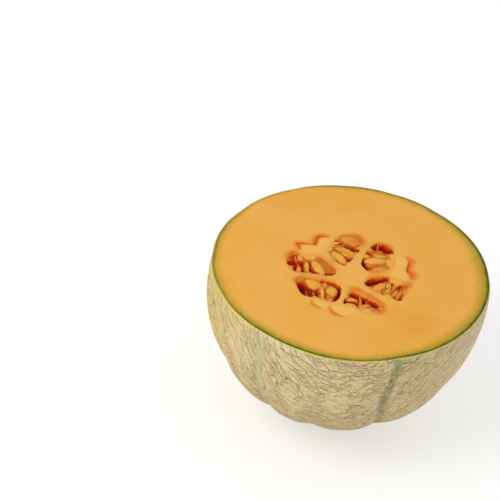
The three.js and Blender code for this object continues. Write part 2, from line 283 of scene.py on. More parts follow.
# seed pockets and cracks on the cut face, in millimetres from the middle of the star. A seed or
# a strand is given by its root, its tip, its width, the roll of its flat side, the depth of its top and
# how brown it is, and a tone below zero makes a flat pale blob that is a painted glint; a hollow in the
# pulp by the two ends of a line, its radius about it and its depth.
pockets = [
    {
        "outline": [
            [-12, 11], [-9.5, 6.5], [-6, 3], [-3, 2], [-1, 5.5], [1, 10], [2.7, 15.5],
            [3.4, 21.5], [1, 25], [-3.5, 26], [-8, 23.5], [-9.5, 18.5],
        ],
        "seeds": [
            [-9.4, 23.4, 3, 19.4, 8, 4, 0.3, 0.36],
            [-9.8, 16, 1.7, 9, 5.8, 12, 0.2, 0.2],
            [-11.2, 13, -2.6, 3.9, 5.2, 15, 0.1, 0.0],
        ],
        "hollows": [
            [-8.4, 19, -4, 17.2, 0.5, 4], [-4, 17.2, 1.2, 14.6, 0.8, 6], [-2.6, 6.9, -0.9, 7.4, 0.8, 5],
            [-8, 12.2, -3, 7.4, 0.45, 3], [-9.2, 5.4, -6, 2.9, 0.3, 1.6], [-6, 2.9, -2.9, 2.6, 0.4, 2],
        ],
        "strands": [[-11, 17.6, -7, 18.4, 1.3, 0, 0, -0.3], [-10.8, 15.6, -8.4, 15, 1.2, 0, 0.3, 0.2]],
    },
    {
        "outline": [
            [4, 4.5], [4.5, 10], [5.5, 14], [7.5, 19], [11, 22], [17, 18.5],
            [18.2, 13], [18, 6], [15.5, 2.3], [8, 0.3],
        ],
        "seeds": [
            [18, 13.6, 6.6, 14.6, 5.4, 20, 0.6, 0.2],
            [16.4, 10.6, 4.8, 8.4, 6.4, 8, 0.1, 0.0],
            [18.6, 6, 7.4, 3, 5.4, 12, 0.5, 0.3],
        ],
        "hollows": [
            [9.4, 19, 12.6, 19.4, 1.5, 7], [12.6, 19.2, 16, 17.3, 1.3, 7], [4.7, 8, 4.7, 4.6, 0.9, 5],
            [5, 4, 7.1, 2.5, 1.1, 6], [6.3, 13.4, 7, 12.8, 0.8, 3],
        ],
        "strands": [
            [10.1, 22, 9.7, 16.4, 0.8, 0, 0.6, 0.5], [18.4, 11.2, 14.4, 10.6, 1.2, 0, 0.15, 0.1],
            [13, 8.8, 16.6, 9.6, 0.8, 0, 0, -0.4],
        ],
    },
    {
        "outline": [
            [6.5, -8.5], [8.5, -5], [16, -1.8], [22, -3.3], [26.3, -4], [26.3, -11],
            [23.5, -17], [19, -16.3], [14.5, -14.5], [9.5, -11.5],
        ],
        "seeds": [
            [17.2, -3.8, 9.6, -12.2, 5.2, 12, 0.4, 0.1],
            [19.3, -5.5, 14.4, -14.2, 4.6, 65, 0.6, 0.2],
            [22.2, -6, 18, -15.8, 4.6, 70, 0.7, 0.25],
            [24, -5.8, 20.9, -16, 4.4, 75, 0.5, 0.5],
            [25.1, -4.8, 24, -14.8, 4.2, 50, 0.4, 0.3],
        ],
        "hollows": [
            [7.8, -7.6, 11, -5.6, 1.3, 6], [11, -5.6, 15.8, -2.9, 0.8, 5], [21.6, -12.2, 21.9, -15.6, 1.2, 6],
            [18.4, -5.7, 15.5, -13.4, 0.5, 3], [22.5, -6.4, 20.1, -11.8, 0.6, 3],
        ],
        "strands": [
            [17.8, -4.6, 16.8, -11, 1.3, 0, 0.2, 0.15], [20.6, -4, 19.6, -9.8, 1, 0, 0.45, 0.4],
            [15.8, -7.4, 14.8, -13.4, 0.8, 0, 0.6, 0.4], [17.8, -5.6, 16.6, -9.4, 1, 0, 0, -0.35],
        ],
    },
    {
        "outline": [
            [0, -13], [3, -12.5], [7, -15], [13.5, -19], [16, -24], [14.5, -28],
            [8, -28.3], [2.5, -25.6], [-1.2, -24.8], [-0.8, -18],
        ],
        "seeds": [
            [10.6, -20.8, 4.6, -26, 4.2, 25, 0.4, 0.15],
            [13.4, -22.8, 7.6, -27.4, 4, 50, 0.3, 0.25],
            [14.8, -24.6, 10.8, -27.6, 3.4, 40, 0.5, 0.3],
            [5.2, -20.3, -0.6, -20.1, 2.6, 0, 0.4, 0.1],
        ],
        "hollows": [
            [2.1, -17.1, 3.9, -17.8, 1.1, 5], [6.1, -19.6, 7.6, -20.2, 1.5, 7],
            [10.2, -20.6, 13, -22.4, 1, 6], [-1.2, -22.4, 4, -22.7, 0.9, 5],
        ],
        "strands": [
            [4.8, -16.6, 5.6, -26, 1.1, 0, 0.4, 0.3], [9.2, -17.6, 8.6, -22, 0.8, 0, 1.2, 0.6],
            [-0.6, -24, 4.8, -24.4, 1.6, 0, 0.2, 0.1],
        ],
    },
    {
        "outline": [
            [-23.4, -12.4], [-20, -9.7], [-12.5, -9.3], [-7, -10], [-3.8, -12.7], [-3, -17],
            [-3.7, -21.8], [-6.5, -25], [-12, -23.7], [-19.2, -22.6], [-22.6, -17.2],
        ],
        "seeds": [
            [-20.2, -10.6, -12, -15.6, 6, 5, 0.08, 0.1],
            [-12.6, -11.6, -10.8, -22.2, 4.4, 65, 0.3, 0.2],
            [-7.7, -12.2, -7.2, -20, 5.8, 5, 0.1, 0.12],
            [-9.2, -21.8, -5.6, -23.2, 3.4, 10, 0.5, 0.4],
        ],
        "hollows": [
            [-20.9, -16, -19.6, -19, 2.2, 7], [-19, -20.2, -17, -20.4, 1.5, 6],
            [-18.8, -16.6, -14.6, -17.8, 1.3, 6], [-14.8, -18.2, -12.2, -21.4, 1.2, 6],
            [-11.7, -10.8, -7.2, -11.5, 0.5, 1.5], [-7.2, -11.5, -4.6, -13.6, 0.55, 2.4],
            [-4.4, -13.8, -4.1, -18, 0.8, 5], [-4.1, -18, -5, -21.7, 0.75, 5],
            [-5, -21.8, -6.4, -23.8, 0.5, 3.5], [-10.8, -16.4, -10, -21, 0.5, 2.5],
        ],
        "strands": [
            [-18.6, -16.4, -16, -22.6, 0.8, 0, 1.7, 0.75], [-15.8, -17, -14.4, -22.6, 0.9, 0, 1.2, 0.6],
            [-10.6, -20.4, -9.6, -24.2, 1.2, 0, 0.3, 0.2],
        ],
    },
    {
        "outline": [
            [-5.6, -2.6], [-8, -6.2], [-15.5, -6.9], [-25, -6.9], [-28.3, -3.5], [-28.8, 2],
            [-27.3, 6.5], [-23.5, 6.5], [-20, 4.4], [-17.5, 6.8], [-14, 6.8], [-9.2, 2.6],
        ],
        "seeds": [
            [-15, 6.8, -6.6, -4.6, 7.2, 16, 1.1, 0.94],
            [-18.8, 4.4, -11.8, -6.3, 5, 12, 0.1, 0.05],
            [-20.8, 4.2, -19.4, -6.4, 4.2, 70, 0.1, 0.15],
            [-23.7, 6.8, -23, 1.8, 3, 30, 0.05, 0.1],
            [-23.4, -1.2, -22.8, -6.6, 2.8, 30, 0.4, 0.3],
        ],
        "hollows": [
            [-19.6, 1.2, -18.4, -3, 0.6, 6], [-18.4, -3, -15.4, -6.2, 0.7, 6],
            [-27.3, -0.8, -25.6, 0.2, 1.2, 4], [-26.4, 2.6, -25.6, 3.8, 1.2, 1.5],
            [-22.2, 0.7, -21.5, -5.4, 0.5, 4],
            [-23.8, 0.6, -22.6, -0.4, 0.9, 3.5], [-24.9, -1.6, -24.5, -5.4, 0.6, 3.5],
            [-10.8, -5.7, -8.4, -5, 0.9, 5],
        ],
        "strands": [
            [-19.4, 3, -17, 6.6, 2.2, 0, 0, -0.35], [-24.2, 0.6, -24, -5.4, 0.7, 0, 0.7, 0.5],
            [-25.6, 6, -24.6, 0.6, 0.8, 0, 0.8, 0.5],
        ],
    },
]
crackOutlines = [
    [
        (-24, 8.7), (-25.2, 11.1), (-26.2, 13.1), (-24.6, 14.2), (-21.2, 14.2), (-18.6, 14.7), (-18.2, 17.3),
        (-17.8, 19.7), (-16, 21.3), (-12.4, 21.2), (-12.6, 20.6), (-15.2, 20.2), (-16.5, 18.5),
        (-16.8, 15.8), (-17.2, 13.4), (-18.8, 13.6), (-21.2, 13.5), (-23.2, 12.8), (-23.7, 11),
    ],
    [
        (22.4, 15.1), (24.6, 14.8), (26.2, 13.4), (26, 10.5), (25.4, 7.5), (25.3, 5), (27.2, 3.4),
        (28.1, 1.4), (26.7, -0.4), (25.9, 0.2), (26.2, 2), (24.8, 3.4), (24.2, 4.8), (24.5, 8),
        (24.6, 11), (24, 13.2),
    ],
]
# a crack given by a line down its middle, with its width at each corner
crackLines = [
    [(-15.2, -25.2, 0.9), (-14.5, -26.9, 1.6), (-13, -28.6, 1.2), (-11, -29.6, 0.8), (-9, -30.2, 0.7)],
    [
        (-7.1, -27.8, 0.9), (-6.5, -29.3, 1.7), (-4.8, -31.7, 1.4), (-2.4, -33, 1.1), (0.2, -33.1, 0.9),
        (1.8, -32.4, 0.7),
    ],
]


def smoothCurve(corners, steps, closed):
    # a curve through the corners, with no overshoot where they lie close together
    corners = asArray(corners)
    count = len(corners)
    points = []
    for i in range(count if closed else count - 1):
        if closed:
            four = [corners[(i + k) % count] for k in (-1, 0, 1, 2)]
        else:
            four = [corners[min(max(i + k, 0), count - 1)] for k in (-1, 0, 1, 2)]
            four[0] = 2 * four[1] - four[2] if i == 0 else four[0]
            four[3] = 2 * four[2] - four[1] if i == count - 2 else four[3]
        gaps = [max(np.linalg.norm(four[k + 1] - four[k]), 1e-6) ** 0.5 for k in range(3)]
        leave = (four[1] - four[0]) / gaps[0] - (four[2] - four[0]) / (gaps[0] + gaps[1])
        leave = (leave + (four[2] - four[1]) / gaps[1]) * gaps[1]
        arrive = (four[2] - four[1]) / gaps[1] - (four[3] - four[1]) / (gaps[1] + gaps[2])
        arrive = (arrive + (four[3] - four[2]) / gaps[2]) * gaps[1]
        for k in range(steps):
            t = k / steps
            points.append(
                four[1] * (2 * t ** 3 - 3 * t ** 2 + 1) + leave * (t ** 3 - 2 * t ** 2 + t)
                + four[2] * (3 * t ** 2 - 2 * t ** 3) + arrive * (t ** 3 - t ** 2))
    if not closed:
        points.append(corners[-1])
    return asArray(points)


def crackOutline(corners):
    curve = smoothCurve(corners, 6, closed=False)
    line, width = curve[:, :2], curve[:, 2:]
    along = np.gradient(line, axis=0)
    along /= np.linalg.norm(along, axis=1)[:, None]
    side = np.stack([-along[:, 1], along[:, 0]], axis=1)
    half = width / 2 * np.sqrt(np.sin(np.linspace(0, math.pi, len(line))).clip(0))[:, None]
    return np.concatenate([line + side * half, (line - side * half)[-2:0:-1]])


def outwardOrder(ring):
    # counter-clockwise, so that the outward side is always on the right
    following = np.roll(ring, -1, axis=0)
    area = np.sum(ring[:, 0] * following[:, 1] - following[:, 0] * ring[:, 1])
    return ring if area > 0 else ring[::-1]


pocketRings = [outwardOrder(smoothCurve(pocket["outline"], 14, closed=True)) for pocket in pockets]
crackRings = [outwardOrder(smoothCurve(corners, 6, closed=True)) for corners in crackOutlines]
crackRings += [outwardOrder(crackOutline(corners)) for corners in crackLines]


def distanceTo(ring, points):
    # signed distance to a closed ring, below zero inside, and the unit way out
    following = np.roll(ring, -1, axis=0)
    along = following - ring
    offset = points[:, None, :] - ring[None]
    part = np.clip((offset * along).sum(-1) / (along ** 2).sum(-1), 0, 1)
    gap = offset - part[..., None] * along
    length = np.linalg.norm(gap, axis=-1)
    nearest = length.argmin(axis=1)
    rows = np.arange(len(points))
    crossing = (ring[None, :, 1] > points[:, 1, None]) != (following[None, :, 1] > points[:, 1, None])
    rise = np.where(along[:, 1] == 0, 1e-9, along[:, 1])
    meets = ring[:, 0] + (points[:, 1, None] - ring[:, 1]) * along[:, 0] / rise
    inside = (crossing & (points[:, 0, None] < meets)).sum(axis=1) % 2 == 1
    sign = np.where(inside, -1.0, 1.0)
    distance = length[rows, nearest]
    way = gap[rows, nearest] / np.maximum(distance, 1e-6)[:, None]
    return distance * sign, way * sign[:, None]


def nearestOpening(points, rings, reach=3.0):
    # the nearest of several rings for each point, looking only as far as reach
    best = np.full(len(points), reach)
    way = np.tile(asArray([1.0, 0.0]), (len(points), 1))
    which = np.full(len(points), -1)
    for number, ring in enumerate(rings):
        low, high = ring.min(axis=0) - reach, ring.max(axis=0) + reach
        near = np.nonzero(((points > low) & (points < high)).all(axis=1))[0]
        for chunk in np.array_split(near, max(1, len(near) // 4000)):
            if len(chunk) == 0:
                continue
            distance, outward = distanceTo(ring, points[chunk])
            better = distance < best[chunk]
            best[chunk[better]] = distance[better]
            way[chunk[better]] = outward[better]
            which[chunk[better]] = number
    return best, way, which


def capsuleGap(at, start, end):
    start, end = asArray(start), asArray(end)
    along = end - start
    part = np.clip(((at - start) @ along) / max(along @ along, 1e-9), 0, 1)
    return np.linalg.norm(at - start - part[:, None] * along, axis=1)


def hollowShare(flat):
    # how much of a hollow's wall there is at a place, a little wider than the hollow itself
    share = np.zeros(len(flat))
    for x1, y1, x2, y2, reach, depth in (hole for pocket in pockets for hole in pocket["hollows"]):
        gap = capsuleGap(flat, (x1, y1), (x2, y2))
        share = np.maximum(share, 1 - smoothStep(reach + 0.2, 1.7 * reach + 0.8, gap))
    return share


def pocketDraw(depth):
    # how a pocket draws in towards the star's middle on its way down
    floorScale = 0.52
    part = np.clip(np.asarray(depth) / 36.0, 0, 1)
    return np.sqrt(1 - (1 - floorScale ** 2) * part ** 2)


# node groups that the melon's materials share, and what each material begins and ends with

def makeBelowCut():
    # how far below the cut a place lies, in millimetres
    tree, given, result = newGroup("belowCut", "ShaderNodeTree", {"Place": "Vector"}, {"Depth": "Float"})
    height = addNode(tree, "ShaderNodeSeparateXYZ", {"Vector": given["Place"]}).outputs["Z"]
    tree.links.new(times(math2("SUBTRACT", cutHeight * mm, height), 1 / mm), result["Depth"])
    return tree


def makeFineGrain():
    # a fine noise for relief and mottling, and the roughness that follows it
    tree, given, result = newGroup("fineGrain", "ShaderNodeTree", {
        "Place": "Vector", "Scale": "Float", "Coarseness": "Float", "Smoothest": "Float", "Roughest": "Float",
    }, {"Grain": "Float", "Roughness": "Float"})
    grain = noiseValue(given["Place"], given["Scale"], 3.0, given["Coarseness"])
    tree.links.new(grain, result["Grain"])
    tree.links.new(ranged(grain, 0.3, 0.7, given["Smoothest"], given["Roughest"]), result["Roughness"])
    return tree


belowCut = makeBelowCut()
fineGrain = makeFineGrain()


def startMaterial(name, finish):
    material, tree = newMaterial(name)
    place = addNode(tree, "ShaderNodeTexCoord").outputs["Object"]
    depth = addNode(tree, "ShaderNodeGroup", {"Place": place}, node_tree=belowCut).outputs["Depth"]
    grain = addNode(tree, "ShaderNodeGroup", {"Place": place, **finish["grain"]}, node_tree=fineGrain).outputs
    return material, tree, place, depth, grain


def finishShader(tree, finish, colour, roughness, height):
    bump = addNode(tree, "ShaderNodeBump", {**finish["bump"], "Height": height})
    fillInputs(tree.nodes["Principled BSDF"], {
        "Base Color": colour, "Roughness": roughness, "Normal": bump.outputs["Normal"], **finish["surface"],
    })


# the rind

rindFinish = {
    "sides": 560,
    "rows": 144,
    "insideRows": 6,
    "edgeRound": 0.16,
    "baseInset": 0.12,
    "netLength": 6.6,
    "netWidth": 3.0,
    "netSlant": 60.0,
    "netSizeSwing": 0.2,
    "ridgeHeight": 0.4,
    "cellSwell": 0.12,
    "crackSink": 0.2,
    "sutureHalfWidth": 2.6,
    # how the net wanders: size, seeds and strength of each noise
    "netWarps": ((10.0, (1, 2, 3), (0.35, 0.35, 0.8)), (3.2, (4, 5, 6), (0.1, 0.1, 0.2))),
    "grain": {"Scale": 900.0, "Coarseness": 0.5},
    "bump": {"Strength": 0.4, "Distance": 0.0004},
    "surface": {"Specular IOR Level": 0.14},
    "sutureGreen": (0.75, 0.1, 1.0, 0.15, 0.5, 0.9, 0.3, 0.8, 0.4, 1.0, 0.5, 0.2),
    # bearing and value: how dark the green line is, how far in it tints the flesh, and how far down
    # the skin is bare of net
    "greenLine": (
        (-168, 0.5), (-160, 0.5), (-150, 0.5), (-140, 0.6), (-130, 0.85), (-120, 1.0), (-105, 0.95),
        (-90, 0.8), (-80, 0.65), (-70, 0.8), (-60, 0.95), (-35, 0.95), (-25, 1.0), (20, 1.0), (40, 0.95),
        (50, 0.75), (60, 0.65), (80, 0.6), (100, 0.55), (110, 0.35), (120, 0.2), (140, 0.2), (150, 0.3),
        (160, 0.45), (180, 0.6),
    ),
    "greenWidth": (
        (-170, 5.4), (-140, 6.4), (-120, 7), (-100, 6.4), (-80, 6.2), (-60, 6.4), (-40, 8.4), (-20, 8),
        (0, 8.4), (20, 9.6), (40, 6.4), (60, 5.8), (80, 5.2), (100, 4.6), (120, 2.6), (140, 3), (160, 5.6),
        (180, 4.6),
    ),
    "bareSkin": (
        (-170, 1.2), (-150, 1.6), (-130, 1.4), (-118, 1.1), (-105, 1.0), (-90, 0.8), (-60, 0.6),
        (-30, 0.7), (0, 0.9), (60, 1.0), (120, 1.1),
    ),
    # bearing and value of painted side light: above zero the rind is yellower, a painted reflection, below zero
    # paler, painted light
    "sideTone": (
        (-180, 1), (-150, 0.8), (-120, 0.1), (-90, 0), (-60, 0), (-25, -0.6), (0, -1), (50, 0), (140, 0.2),
    ),
    "creamLight": srgb(220, 206, 150),
    "creamGreen": srgb(201, 191, 132),
    "creamYellow": srgb(218, 196, 116),
    "netBeige": srgb(222, 199, 154),
    "netPink": srgb(214, 186, 146),
    "netHighlight": srgb(240, 222, 180),
    "netBrown": srgb(110, 84, 36),
    "undersideShade": srgb(146, 118, 70),
    "reflectedYellow": srgb(196, 168, 72),
    "sideHighlightPale": srgb(226, 214, 182),
    "sutureFaint": srgb(192, 194, 148),
    "sutureDark": srgb(112, 108, 76),
    "suturePale": srgb(170, 162, 122),
    "skinPale": srgb(216, 211, 130),
    "skinGreen": srgb(120, 117, 30),
    "skinFaint": srgb(212, 188, 100),
    "scarBrown": srgb(176, 146, 108),
}


def aroundMelon(bearing, table):
    table = asArray(table)
    return np.interp(bearing, table[:, 0], table[:, 1], period=360)


def netField(coords, lineWidth):
    # the same net for the relief and for the colours: its ridges, the thin brown cracks along their lower
    # sides, partly painted shade, the painted highlight on their upper sides, a colour for each cell and the
    # distance from the ridge
    tree = coords.id_data

    def voronoi(vector, scale, feature, output):
        inputs = {"Vector": vector, "Scale": scale, "Randomness": 1.0}
        node = addNode(tree, "ShaderNodeTexVoronoi", inputs, voronoi_dimensions="3D", feature=feature)
        return node.outputs[output]

    def edgeDistance(vector, scale=1.0):
        return voronoi(vector, scale, "DISTANCE_TO_EDGE", "Distance")

    def shifted(step):
        inputs = {0: coords, 1: (0.0, 0.0, step)}
        return addNode(tree, "ShaderNodeVectorMath", inputs, operation="ADD").outputs[0]

    edge = edgeDistance(coords)
    fine = edgeDistance(coords, 1.9)
    cell = voronoi(coords, 1.0, "F1", "Color")
    patch = noiseValue(coords, 0.45)
    gaps = noiseValue(coords, 0.9, 1.0)
    wide = math2("SUBTRACT", edge, ranged(patch, 0.35, 0.65, 0.0, 0.1))
    fineRidge = times(ranged(fine, 0.05, 0.2, 1.0, 0.0), ranged(patch, 0.52, 0.66))
    net = math2("MAXIMUM", ranged(wide, 0.06, 0.19, 1.0, 0.0), fineRidge)
    # the brown line sits just below each ridge: partly a real crack, partly painted shade on the ridge's lower
    # side
    besideRidge = math2("DIVIDE", edgeDistance(shifted(0.1)), lineWidth)
    line = times(ranged(besideRidge, 0.045, 0.105, 1.0, 0.0), ranged(edge, 0.03, 0.09, 0.3, 1.0))
    line = times(line, ranged(gaps, 0.33, 0.44))
    fineLine = times(ranged(fine, 0.02, 0.09, 1.0, 0.0), ranged(gaps, 0.46, 0.58))
    crackAndShade = math2("MAXIMUM", line, times(fineLine, 0.6))
    # a painted highlight just above each ridge
    ridgeHighlight = times(ranged(edgeDistance(shifted(-0.09)), 0.03, 0.12, 1.0, 0.0), ranged(patch, 0.4, 0.55))
    return net, crackAndShade, ridgeHighlight, cell, edge


def makeRindMaterial():
    material, tree, place, depth, grain = startMaterial("nettedRind", rindFinish)
    net, crackAndShade, ridgeHighlight, cell, _ = netField(attribute(tree, "netCoord", "Vector"), attribute(tree, "lineWidth"))
    suture, sideTone = attribute(tree, "suture"), attribute(tree, "sideTone")
    # the bright skin just below the cut, with a ragged lower edge
    below = math2("DIVIDE", depth, attribute(tree, "bareReach"))
    below = plus(below, ranged(noiseValue(place, 420.0), 0.25, 0.75, -0.5, 0.5))
    bare = ranged(below, 0.4, 1.1, 1.0, 0.0)
    # cream between the ridges, greener in some cells, and greener and darker low down as painted shade
    broad = noiseValue(place, 40.0)
    cellShade = addNode(tree, "ShaderNodeSeparateColor", {"Color": cell}).outputs[0]
    greenerAndLowShade = plus(times(cellShade, 0.5), times(broad, 0.5))
    # painted shade: greener and darker low down
    greenerAndLowShade = plus(greenerAndLowShade, ranged(depth, 40.0, 76.0, 0.0, 0.6), clamp=True)
    cork = mixed(ranged(broad, 0.35, 0.65), rindFinish["netBeige"], rindFinish["netPink"])
    lifted = times(net, ranged(suture, 0.3, 1.0, 1.0, 0.35))
    # the sutures: a soft grey-green band, finely mottled
    mottle = ranged(noiseValue(place, 620.0, 3.0, 0.6), 0.38, 0.62)
    sutureTone = mixed(mottle, rindFinish["suturePale"], rindFinish["sutureDark"])
    sutureTone = mixed(ranged(attribute(tree, "sutureShade"), 0.75, 1.0), rindFinish["sutureFaint"], sutureTone)
    band = times(suture, ranged(noiseValue(place, 230.0, 3.0), 0.3, 0.6, 0.45, 1.0))
    # the brown crack lines, weaker on the sutures: partly real cracks, partly painted shade
    crackAndShadeLine = times(crackAndShade, ranged(suture, 0.4, 1.0, 0.9, 0.25))
    # the cut edge itself is green where the line under the skin is strong
    topTone = mixed(attribute(tree, "greenStrength"), rindFinish["skinFaint"], rindFinish["skinGreen"])
    colour = layered(rindFinish["creamLight"], rindFinish, (
        (greenerAndLowShade, "creamGreen"),
        (ranged(noiseValue(place, 85.0), 0.5, 0.7, 0.0, 0.5), "creamYellow"),
        (lifted, cork),
        # painted highlight on the ridges' upper sides
        (times(ridgeHighlight, ranged(suture, 0.2, 0.8, 0.45, 0.0)), "netHighlight"),
        (times(band, 0.9), sutureTone),
        (times(bare, 0.85), "skinPale"),
        # brown crack lines, partly painted shade
        (times(crackAndShadeLine, ranged(bare, 0.3, 1.0, 1.0, 0.3)), "netBrown"),
        (attribute(tree, "scar"), "scarBrown"),
        # painted shade, darker towards the underside
        (ranged(depth, 26.0, 76.0, 0.0, 0.6), "undersideShade"),
        # painted light by bearing: a yellow painted reflection on the far left, paler painted light on the
        # right
        (ranged(sideTone, 0.0, 1.0, 0.0, 0.42), "reflectedYellow"),
        (ranged(sideTone, -1.0, 0.0, 0.5, 0.0), "sideHighlightPale"),
        (ranged(grain["Grain"], 0.3, 0.7, 0.0, 0.2), "netBrown"),
        (ranged(attribute(tree, "topShare"), 0.05, 0.7), topTone),
    ))
    height = math2("SUBTRACT", plus(lifted, times(grain["Grain"], 0.3)), times(crackAndShade, 0.8))
    finishShader(tree, rindFinish, colour, ranged(lifted, 0.0, 1.0, 0.5, 0.8), height)
    return material


def makeNetRelief():
    sockets = {"Geometry": "Geometry"}
    tree, given, result = newGroup("netRelief", "GeometryNodeTree", sockets, sockets)

    def read(name, kind="FLOAT"):
        node = addNode(tree, "GeometryNodeInputNamedAttribute", {"Name": name}, data_type=kind)
        return node.outputs["Attribute"]

    net, crackAndShade, _, _, edge = netField(read("netCoord", "FLOAT_VECTOR"), read("lineWidth"))
    swell = times(ranged(edge, 0.1, 0.6), rindFinish["cellSwell"])
    height = plus(times(net, rindFinish["ridgeHeight"]), swell)
    height = math2("SUBTRACT", height, times(crackAndShade, rindFinish["crackSink"]))
    height = times(times(height, read("reliefWeight")), mm)
    normal = addNode(tree, "GeometryNodeInputNormal").outputs["Normal"]
    offset = addNode(tree, "ShaderNodeVectorMath", {0: normal, "Scale": height}, operation="SCALE")
    moved = addNode(tree, "GeometryNodeSetPosition", {"Geometry": given[0], "Offset": offset.outputs[0]})
    tree.links.new(moved.outputs[0], result[0])
    return tree


def applyModifiers(thing):
    bpy.context.view_layer.update()
    settled = thing.evaluated_get(bpy.context.evaluated_depsgraph_get())
    mesh = bpy.data.meshes.new_from_object(settled)
    thing.modifiers.clear()
    thing.data = mesh
    return mesh


def onLeftSide(bearing):
    away = np.abs((bearing + 90 + 180) % 360 - 180)
    return smoothStep(22, 46, away) * smoothStep(0.2, -0.4, np.cos(np.radians(bearing)))


def netCoordinates(points, bearing, polar):
    # round the melon, round the melon again, and up a meridian that slants away from the front and back
    turn = np.radians(bearing)
    radius = melonForm["widestRadius"] * np.sin(np.radians(polar))
    skinUp = melonForm["poleReach"] * np.radians(polar) * 0.95 - 75
    climb = rindFinish["netSlant"] * (1 - np.cos(2 * (turn + math.pi / 2))) / 2
    aside = 1 - smoothStep(0.3, 0.8, (1 + np.cos(turn + math.pi / 2)) / 2)
    climb = climb * (1 + 0.35 * aside * noiseAt(points, 30.0, 11)) + 9 * aside * noiseAt(points, 24.0, 12)
    climb = climb * np.sin(np.radians(polar)) ** 2
    size = 1 - rindFinish["netSizeSwing"] * np.sin(turn + math.radians(95))
    upNet = (skinUp - climb) / (rindFinish["netWidth"] * size)
    upNet += (skinUp - climb + 24) * onLeftSide(bearing) * (1 / 1.4 - 1) / (rindFinish["netWidth"] * size)
    coords = np.stack([
        radius * np.cos(turn) / (rindFinish["netLength"] * size),
        radius * np.sin(turn) / (rindFinish["netLength"] * size),
        upNet,
    ], axis=1)
    for noiseSize, seeds, strength in rindFinish["netWarps"]:
        coords += np.stack([noiseAt(points, noiseSize, seed) for seed in seeds], axis=1) * strength
    return coords


def makeRind():
    sides, rows = rindFinish["sides"], rindFinish["rows"]
    lastRow = rows + 2 + rindFinish["insideRows"]
    bm = bmesh.new()
    bmesh.ops.create_grid(bm, x_segments=sides, y_segments=lastRow, size=1.0)
    mesh = finishMesh(bm, "rind")
    grid = readPoints(mesh) * mm
    column = np.rint((grid[:, 0] + 1) / 2 * sides).astype(int)
    row = np.rint((grid[:, 1] + 1) / 2 * lastRow)
    # rows run up the outside, over the rounded edge and the cut, and down the inside
    edgeRound, baseInset = rindFinish["edgeRound"], rindFinish["baseInset"]
    thickness = melonForm["rindThickness"]
    bearings = np.arange(sides + 1) / sides * 360 - 180
    bearing = bearings[column]
    outside, overEdge, onCut = row <= rows, row == rows + 1, row <= rows + 2
    inset = np.select([outside, overEdge], [baseInset, baseInset + edgeRound], thickness)
    top = np.select([outside, overEdge], [
        cutPolar(bearings, baseInset, cutHeight - edgeRound)[column],
        cutPolar(bearings, baseInset + edgeRound)[column],
    ], cutPolar(bearings, thickness)[column])
    upward = np.select([outside, onCut], [row / rows, 1.0], (lastRow - row) / rindFinish["insideRows"])
    polar = top * upward
    points = bodyPoint(bearing, polar, inset)
    writePoints(mesh, points)
    radius = melonForm["widestRadius"] * np.sin(np.radians(polar))
    suture = np.zeros(len(points))
    shade = np.zeros(len(points))
    for middle, strength in zip(sutureBearings(polar), rindFinish["sutureGreen"]):
        away = np.abs((bearing - middle + 180) % 360 - 180)
        gap = np.radians(away) * radius + 0.7 * noiseAt(points, 7.0, 8)
        half = rindFinish["sutureHalfWidth"]
        here = strength * (1 - smoothStep(half * 0.4, half * 1.2, gap))
        shade = np.where(here > suture, strength, shade)
        suture = np.maximum(suture, here)
    suture *= smoothStep(4, 12, radius)
    below = cutHeight - points[:, 2] + 0.8 * noiseAt(points, 4.0, 9)
    bareReach = aroundMelon(bearing, rindFinish["bareSkin"])
    bare = np.where(outside, 1 - smoothStep(0.35, 1.1, below / bareReach), 1.0)
    weight = (1 - 0.6 * suture) * (1 - 0.8 * bare) * smoothStep(0, 1.5, cutHeight - points[:, 2])
    writeAttributes(
        mesh, netCoord=netCoordinates(points, bearing, polar), suture=suture, sutureShade=shade,
        lineWidth=1 - 0.45 * onLeftSide(bearing), bareReach=bareReach,
        topShare=np.select([outside, overEdge], [0.0, 0.4], 1.0),
        greenStrength=aroundMelon(bearing, rindFinish["greenLine"]),
        sideTone=aroundMelon(bearing, rindFinish["sideTone"]), scar=0.6 * (1 - smoothStep(1.6, 3.4, radius)),
        reliefWeight=np.where(outside, weight, 0.0))
    bm = bmesh.new()
    bm.from_mesh(mesh)
    bmesh.ops.remove_doubles(bm, verts=bm.verts, dist=0.0005 * mm)
    bmesh.ops.recalc_face_normals(bm, faces=bm.faces)
    bm.to_mesh(mesh)
    bm.free()
    mesh.shade_smooth()
    rind = makeObject("netted_rind", mesh, makeRindMaterial())
    relief = rind.modifiers.new("netRelief", "NODES")
    relief.node_group = makeNetRelief()
    mesh = applyModifiers(rind)
    points = readPoints(mesh)
    points[:, 2] = np.clip(points[:, 2], 0, cutHeight)
    writePoints(mesh, points)
    print("rind:", triangleCount(mesh), "triangles")
    return rind


# the flesh with its cut face, pockets and cracks

